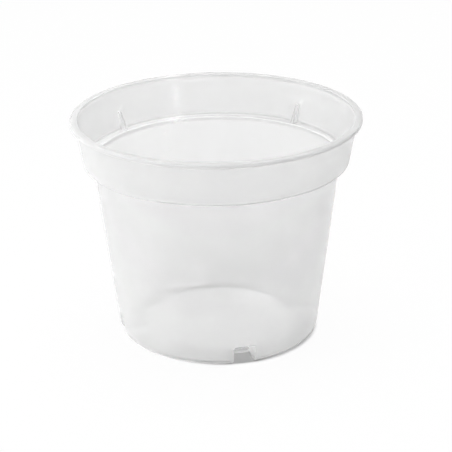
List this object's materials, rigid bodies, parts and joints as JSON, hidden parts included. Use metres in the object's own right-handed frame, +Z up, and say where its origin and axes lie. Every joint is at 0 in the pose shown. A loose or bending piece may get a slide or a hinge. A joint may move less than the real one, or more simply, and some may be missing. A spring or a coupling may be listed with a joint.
{
  "type": "slotted orchid pot",
  "caption": "Clear frosted plastic orchid pot with an outward lip, a stepped collar with stacking lugs and four drain slots at its heel.",
  "frame": {"origin": "centre of the pot's foot on the surface that it stands on", "axes": "+Z up the pot's axis to its mouth, -Y to the front of the pictured view"},
  "size_m": [0.13, 0.13, 0.1024],
  "materials": {
    "pot_plastic": "clear polypropylene with a light frost and a soft gloss"
  },
  "bodies": {
    "root": {"rim_lip": "pot_plastic", "collar": "pot_plastic", "collar_ledge": "pot_plastic", "side_wall": "pot_plastic", "base_floor": "pot_plastic", "heel_foot_1": "pot_plastic", "heel_foot_2": "pot_plastic", "heel_foot_3": "pot_plastic", "heel_foot_4": "pot_plastic", "stacking_lug_1": "pot_plastic", "stacking_lug_2": "pot_plastic", "stacking_lug_3": "pot_plastic", "stacking_lug_4": "pot_plastic"}
  },
  "joints": []
}
